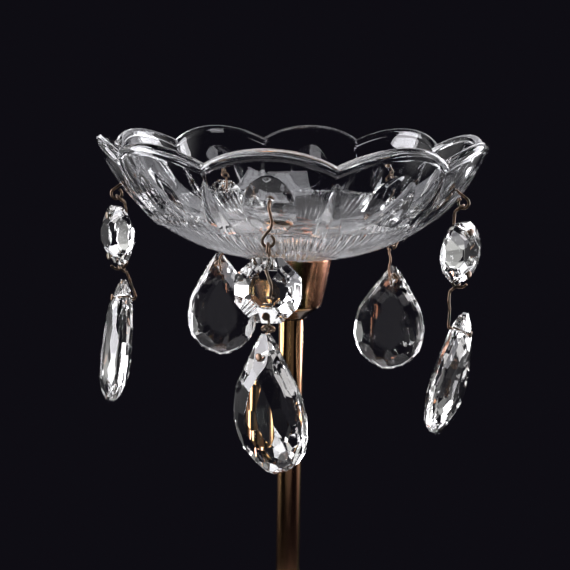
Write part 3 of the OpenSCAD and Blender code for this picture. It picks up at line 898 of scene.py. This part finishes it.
def smooth_line(points, steps=5):
    """A smooth line through the points."""
    line = []
    for i in range(len(points) - 1):
        before = points[max(i - 1, 0)]
        start, end = points[i], points[i + 1]
        after = points[min(i + 2, len(points) - 1)]
        for s in range(steps):
            t = s / steps
            line.append(0.5 * (2 * start + (end - before) * t
                               + (2 * before - 5 * start + 4 * end - after) * t ** 2
                               + (3 * start - before - 3 * end + after) * t ** 3))
    line.append(points[-1])
    return line


def sweep(line, radii, sides=WIRE_SIDES):
    """A tube along a line, with its own radius at every point."""
    count = len(line)
    tangents = [(line[min(i + 1, count - 1)] - line[max(i - 1, 0)]).normalized() for i in range(count)]
    side = tangents[0].orthogonal().normalized()
    verts = []
    for i in range(count):
        side = (side - tangents[i] * side.dot(tangents[i])).normalized()
        other = tangents[i].cross(side)
        for s in range(sides):
            a = 2 * math.pi * s / sides
            verts.append(line[i] + radii[i] * (math.cos(a) * side + math.sin(a) * other))
    faces = []
    for i in range(count - 1):
        for s in range(sides):
            a, b = i * sides + s, i * sides + (s + 1) % sides
            faces.append((a, b, b + sides, a + sides))
    faces.append(tuple(reversed(range(sides))))
    faces.append(tuple(range((count - 1) * sides, count * sides)))
    return verts, faces


HEAD_THICKNESS = 0.5 * MM


def nail(name, head, points, body, node, matrix):
    """A nail whose head starts at head and whose wire runs through the points, in its own frame."""
    line = smooth_line([Vector(p) for p in points])
    head = Vector(head)
    out = (line[0] - head).normalized()
    dome = [(0.0, 0.35), (0.04, 0.72), (0.14, 0.95), (0.28, 1.0), (0.44, 1.0), (0.5, 0.92), (0.5, 0.40)]
    head_line = [head + out * HEAD_THICKNESS * 2 * along for along, share in dome]
    head_radii = [HEAD_R * share for along, share in dome]
    head_radii[-1] = WIRE_R
    end_radii = [WIRE_R] * (len(line) - 1) + [WIRE_R * 0.7]
    verts, faces = sweep(head_line + line, head_radii + end_radii)
    mesh = mesh_from(name, verts, faces)
    mesh.transform(matrix)
    mesh.materials.append(WIRE_BRASS)
    pin = new_object(name, mesh)
    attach(pin, body)
    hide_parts(node)
    return pin


def upright_eye(centre, radius, start, end, steps=16):
    """An eye in the upright plane through the strand."""
    centre = Vector(centre)
    return [centre + radius * Vector((math.cos(a), 0, math.sin(a)))
            for a in (math.radians(start + (end - start) * i / steps) for i in range(steps + 1))]


def crosswise_eye(top, steps=18):
    """An eye across the strand, hanging by the middle of its top wire and leaning inwards."""
    down = Vector((-math.sin(RING_TILT), 0, -math.cos(RING_TILT)))
    eye = []
    for i in range(steps + 1):
        a = math.radians(180 - 314 * i / steps)
        eye.append(Vector(top) + EYE_R * (1 - math.cos(a)) * down + EYE_R * math.sin(a) * Vector((0, 1, 0)))
    return eye


print("eye radius", round(EYE_R / MM, 2), "mm")

# %% [markdown]
# ## Pins on every strand
# Four pins join a strand: one through the bowl's wall, one through each hole of the octagon, and one
# through the drop. The front strand is bent differently: its bowl pin runs down the outside of the
# glass before its eye, and the octagon's upper pin ends in front of the octagon's face.

# %% Pins on every strand
def mm_points(*points):
    return [Vector(p) * MM for p in points]


# Half the octagon's thickness at its holes, and how far behind its middle a wire passes its edge.
HOLE_HALF = 2.385 * MM
BACK_U = -3.13 * MM
for k in STRANDS:
    middle = octagon_middle(k)
    turned = octagon_turn(k)
    hole = Vector(JOINTS[f"hook_{k}_sideways"]["pos_m"])
    axis = Vector(JOINTS[f"hook_{k}_sideways"]["axis"])
    hang = Vector(JOINTS[f"bead_{k}_outwards"]["pos_m"])
    link = Vector(JOINTS[f"drop_{k}_sideways"]["pos_m"])
    out = Vector((math.hypot(axis.x, axis.y), 0, axis.z))
    down = Vector((out.z, 0, -out.x))
    # Through the bowl's wall, in a frame whose origin is the hole's outer mouth.
    wall_hole = Matrix.Translation(hole) @ Matrix.Rotation(math.atan2(axis.y, axis.x), 4, "Z")
    reach = math.hypot(hang.x, hang.y) - math.hypot(hole.x, hole.y)
    pin_head = -out * 4 * MM
    if k == 1:
        eye_z = hang.z - hole.z
        bend = mm_points((0.41, 0, -0.29), (0.8, 0.2, -1.0), (0.9, 0.6, -2.5), (0.9, 0.9, -4.2),
                         (0.9, 0.4, -6.0), (0.9, -0.5, -7.0))
        for point in bend[1:]:
            point.x = min(point.x, reach)
        eye = [Vector((reach, EYE_R * math.cos(a), eye_z + EYE_R + EYE_R * math.sin(a)))
               for a in (math.radians(140 + 285 * i / 18) for i in range(19))]
        points = [-out * 3.2 * MM, -out * 1.5 * MM] + bend + eye
    else:
        centre = out * 2.2 * MM + down * EYE_R
        eye = [centre - EYE_R * math.cos(a) * down + EYE_R * math.sin(a) * out
               for a in (math.radians(8 + 282 * i / 18) for i in range(19))]
        points = [-out * 3.2 * MM, out * 1.2 * MM] + eye
    nail(f"bowl_pin_{k}_wire", pin_head, points, f"hook_{k}", f"bowl_pin_{k}", wall_hole)

    # Through the octagon's upper hole, in a frame at the octagon's middle.
    bead = strand_matrix(k, middle)
    back_leg = [Vector((-HOLE_HALF + 0.1 * MM, 0, OCTAGON_HOLE)), Vector((BACK_U + 0.2 * MM, 0, 6.7 * MM)),
                Vector((BACK_U, 0, 7.4 * MM))]
    if k == 1:
        top_z = hang.z - middle + 2 * WIRE_R + 0.1 * MM
        tail = mm_points((5.4, 1.4, 0), (5.4, 1.6, 2.5), (5.1, 0.8, 4.8), (4.5, 0.2, 6.0), (3.6, 0, 6.4))
        loop = upright_eye((0, 0, top_z - 1.5 * MM), 1.5 * MM, 180, -35)
        points = tail + back_leg + [Vector((-2.3 * MM, 0, 9.3 * MM))] + loop
        nail("bead_pin_1_wire", Vector((5.4, 1.3, -1)) * MM, points, "bead_1", "bead_pin_1", bead)
    else:
        top = Vector((0, 0, hang.z - middle))
        head = turned @ Vector((HOLE_HALF + 1.3 * MM, 0, OCTAGON_HOLE))
        points = [turned @ p for p in [Vector((2.6 * MM, 0, OCTAGON_HOLE))] + back_leg]
        points += [Vector((-2.5 * MM, 0, top.z - 2.8 * MM))] + crosswise_eye(top)
        nail(f"bead_pin_{k}_wire", head, points, f"bead_{k}", f"bead_pin_{k}", bead)

    # Through the octagon's lower hole and round under its edge.
    bend_r = 2.6 * MM
    low = link.z - middle
    head = turned @ Vector((HOLE_HALF + 1.3 * MM, 0, -OCTAGON_HOLE))
    points = [Vector((2.6 * MM, 0, -OCTAGON_HOLE)), Vector((-HOLE_HALF + 0.1 * MM, 0, -OCTAGON_HOLE)),
              Vector((BACK_U + 0.15 * MM, 0, -6.7 * MM)), Vector((BACK_U, 0, -7.5 * MM))]
    points = [turned @ p for p in points] + upright_eye((0, 0, low + bend_r), bend_r, 195, 330, 12)
    nail(f"link_pin_{k}_wire", head, points, f"bead_{k}", f"link_pin_{k}", bead)

    # Through the drop's hole, in a frame at the middle of the drop's top.
    settle = hung(k)
    top = Vector((0, 0, link_above(k) + 2 * WIRE_R + 0.1 * MM))
    back = DROP_SHIFT - 0.7 * MM - 3.5 * MM * DROP_HOLE / (0.18 * DROP_LENGTH)
    leg = back - 0.75 * MM
    foot = top + 2 * EYE_R * Vector((-math.sin(RING_TILT), 0, -math.cos(RING_TILT)))
    points = [Vector((2.9 * MM, 0, -DROP_HOLE)), Vector((back + 0.1 * MM, 0, -DROP_HOLE)),
              Vector((leg + 0.2 * MM, 0, 0.3 * MM - DROP_HOLE)), Vector((leg, 0, 1.1 * MM - DROP_HOLE))]
    points = [settle @ p for p in points]
    below_eye = Vector((foot.x - 0.4 * MM, 0, foot.z - 1 * MM))
    # A long leg was bent by hand, so it wanders a little on its way up.
    wander = [(0.4, 0.75), (0.75, -0.45)] if k > 1 else []
    points += [points[3].lerp(below_eye, share) + Vector((0, side * MM, 0)) for share, side in wander]
    points += [below_eye] + crosswise_eye(top)
    head = settle @ Vector((DROP_SHIFT + 3.5 * MM, 0, -DROP_HOLE))
    nail(f"drop_pin_{k}_wire", head, points, f"pendant_{k}", f"drop_pin_{k}", strand_matrix(k, drop_top(k)))

# %% [markdown]
# ## Turned and spun brass
# The cup, collar, stem and foot are round, so each is a profile turned about the axis, as on the lathe
# that made them. Every corner of a profile is rounded before it is turned, because a lathe leaves no
# edge truly sharp and the small round catches the light.

# %% Turned and spun brass
def rounded(profile, radius, steps=4):
    """A closed profile of (radius, height) points with each marked corner rounded."""
    points = [Vector(p[:2]) for p in profile]
    wanted = [p[2] if len(p) > 2 else radius for p in profile]
    result = []
    count = len(points)
    for i in range(count):
        here, before, after = points[i], points[i - 1], points[(i + 1) % count]
        to_before, to_after = before - here, after - here
        cut = min(wanted[i], 0.4 * to_before.length, 0.4 * to_after.length)
        if cut < 1e-6:
            result.append(here)
            continue
        start = here + to_before.normalized() * cut
        end = here + to_after.normalized() * cut
        for s in range(steps + 1):
            t = s / steps
            result.append(start * (1 - t) ** 2 + here * 2 * t * (1 - t) + end * t ** 2)
    return result


def lathe(name, profile, sides, material, body, node):
    """A closed profile turned about the upright axis, as a piece that stands for a CAD node."""
    verts, faces = [], []
    rows = len(profile)
    for s in range(sides):
        a = 2 * math.pi * s / sides
        verts += [(p.x * math.cos(a), p.x * math.sin(a), p.y) for p in profile]
    for s in range(sides):
        here, there = s * rows, (s + 1) % sides * rows
        for r in range(rows):
            nxt = (r + 1) % rows
            faces.append((here + r, there + r, there + nxt, here + nxt))
    mesh = mesh_from(name, verts, faces)
    bm = bmesh.new()
    bm.from_mesh(mesh)
    bmesh.ops.remove_doubles(bm, verts=bm.verts, dist=1e-7)
    bmesh.ops.recalc_face_normals(bm, faces=bm.faces)
    bm.to_mesh(mesh)
    bm.free()
    mesh.materials.append(material)
    piece = new_object(name, mesh)
    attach(piece, body)
    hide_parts(node)
    return piece


print("a square corner rounds into", len(rounded([(0, 0), (1, 0), (1, 1), (0, 1)], 0.1)) // 4, "points")

# %% [markdown]
# ## Candle cup
# The cup flares to a rolled rim that the bowl sits on, and closes in a short cone on the stem. Its
# inside is a plain socket that narrows below, so that a candle wedges upright.

# %% Candle cup
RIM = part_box("candle_cup")[1].z
cup_profile = [(r * MM, RIM + z * MM, c * MM) for r, z, c in (
    (0.0, -15.8, 0), (8.0, -15.8, 0.5), (11.2, -5.8, 0.3), (11.2, -0.4, 0.2), (11.6, 0.0, 0.15),
    (12.6, 0.0, 0.2), (13.0, -0.3, 0.15), (13.1, -0.8, 0.2), (12.35, -5.2, 1.5), (10.9, -12.6, 1.5),
    (10.0, -16.6, 0.4), (9.2, -17.5, 0.5), (6.15, -19.9, 0.8), (5.15, -20.7, 0.3), (5.05, -21.5, 0.15),
    (3.05, -21.5, 0.1), (3.05, -17.3, 0.1), (0.0, -17.3, 0))]
lathe("candle_cup_turned", rounded(cup_profile, 0.2 * MM), 128, CUP_BRASS,
      "stand", "candle_cup")
print("cup rim at", round(RIM / MM, 1), "mm")

# %% [markdown]
# ## Stem tube
# The stem is a length of drawn tube, so it is the same all the way up, with its cut ends just eased.

# %% Stem tube
tube_low, tube_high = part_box("stem_tube")
TUBE_R = tube_high.x
TUBE_WALL = 0.9 * MM
tube_profile = [(TUBE_R - TUBE_WALL, tube_low.z), (TUBE_R, tube_low.z),
                (TUBE_R, tube_high.z), (TUBE_R - TUBE_WALL, tube_high.z)]
lathe("stem_tube_drawn", rounded(tube_profile, 0.15 * MM), 96, STEM_BRASS,
      "stand", "stem_tube")
print("stem radius", round(TUBE_R / MM, 2), "mm")

# %% [markdown]
# ## Stem collar
# A turned ring covers the joint between the stem and the foot, with a bead at its neck and a broad
# step at its base. The tube stands on a shelf inside it.

# %% Stem collar
collar_low, collar_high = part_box("stem_collar")
BASE, TOP = collar_low.z, collar_high.z
collar_profile = [
    (3.2 * MM, BASE), (10.5 * MM, BASE, 0.3 * MM), (10.8 * MM, BASE + 0.8 * MM, 0.4 * MM),
    (10.5 * MM, BASE + 1.6 * MM, 0.3 * MM), (8.5 * MM, BASE + 2 * MM, 0.4 * MM),
    (6.75 * MM, BASE + 3.4 * MM, 1.2 * MM), (5.85 * MM, BASE + 5.5 * MM, 1.2 * MM),
    (5.15 * MM, TOP - 2.2 * MM, 0.2 * MM), (5.85 * MM, TOP - 1.4 * MM, 0.35 * MM),
    (5.85 * MM, TOP - 0.6 * MM, 0.35 * MM), (5.15 * MM, TOP, 0.2 * MM), (4.2 * MM, TOP, 0.1 * MM),
    (4.2 * MM, tube_low.z, 0), (3.2 * MM, tube_low.z, 0)]
lathe("stem_collar_turned", rounded(collar_profile, 0), 96, FOOT_BRASS,
      "stand", "stem_collar")
print("collar height", round((TOP - BASE) / MM, 1), "mm")

# %% [markdown]
# ## Foot
# The foot is spun from sheet over a form, so its inside follows its outside. Half a cosine wave gives
# the soft dome, which meets a low upright edge at the table.

# %% Foot
shell_low, shell_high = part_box("foot_shell")
FOOT_R, FOOT_TOP, FOOT_EDGE = shell_high.x, shell_high.z, shell_low.z
NECK_R, SHOULDER_R, SHOULDER_Z = 11 * MM, FOOT_R - 4 * MM, 5.5 * MM


def dome(radius):
    x = (SHOULDER_R - min(max(radius, NECK_R), SHOULDER_R)) / (SHOULDER_R - NECK_R)
    return SHOULDER_Z + (FOOT_TOP - SHOULDER_Z) * (1 - math.cos(math.pi * x)) / 2


DOME_STEPS = 48
SHEET = 1.35 * MM
across = [SHOULDER_R + (NECK_R - SHOULDER_R) * i / DOME_STEPS for i in range(DOME_STEPS + 1)]
foot_profile = [(FOOT_R - MM, FOOT_EDGE, 0.2 * MM), (FOOT_R, FOOT_EDGE, 0.3 * MM),
                (FOOT_R, 4 * MM, 0.5 * MM), (FOOT_R - 0.4 * MM, 4.9 * MM, 0.4 * MM),
                (FOOT_R - 1.4 * MM, 5.4 * MM, 0.5 * MM)]
foot_profile += [(r, dome(r), 0) for r in across]
foot_profile += [(3.2 * MM, FOOT_TOP, 0), (3.2 * MM, FOOT_TOP - MM, 0), (NECK_R - MM, FOOT_TOP - MM, 0)]
foot_profile += [(r, dome(r) - SHEET, 0) for r in reversed(across)]
foot_profile += [(FOOT_R - 1.8 * MM, 4 * MM, 0.2 * MM), (FOOT_R - MM, 3.4 * MM, 0.2 * MM)]
lathe("foot_shell_spun", rounded(foot_profile, 0), 160, FOOT_BRASS,
      "stand", "foot_shell")
print("foot radius", round(FOOT_R / MM, 1), "mm")

# %% [markdown]
# ## Felt pad
# A disc of felt closes the foot and keeps it from scratching the table. Its edge is soft, not sharp.

# %% Felt pad
pad_low, pad_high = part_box("felt_pad")
PAD_R = pad_high.x
pad_profile = [(0.0, pad_low.z, 0), (PAD_R, pad_low.z, 0.4 * MM),
               (PAD_R, pad_high.z, 0.3 * MM), (0.0, pad_high.z, 0)]
lathe("felt_pad_cut", rounded(pad_profile, 0), 160, FELT, "stand", "felt_pad")
print("pad thickness", round((pad_high.z - pad_low.z) / MM, 1), "mm")

# %% [markdown]
# ## Hidden hardware
# The weight, rod, washer and nut inside the foot already have their real shapes, so they stay as they
# are and only take a finish.

# %% Hidden hardware
for node, material in (("foot_weight", CAST_IRON), ("tie_rod", PLATED_STEEL), ("lock_washer", PLATED_STEEL),
                       ("foot_nut", PLATED_STEEL)):
    mesh = frame["nodes"][node].data
    mesh.materials.clear()
    mesh.materials.append(material)

# %% [markdown]
# ## End

# %% End
print("end of the script")
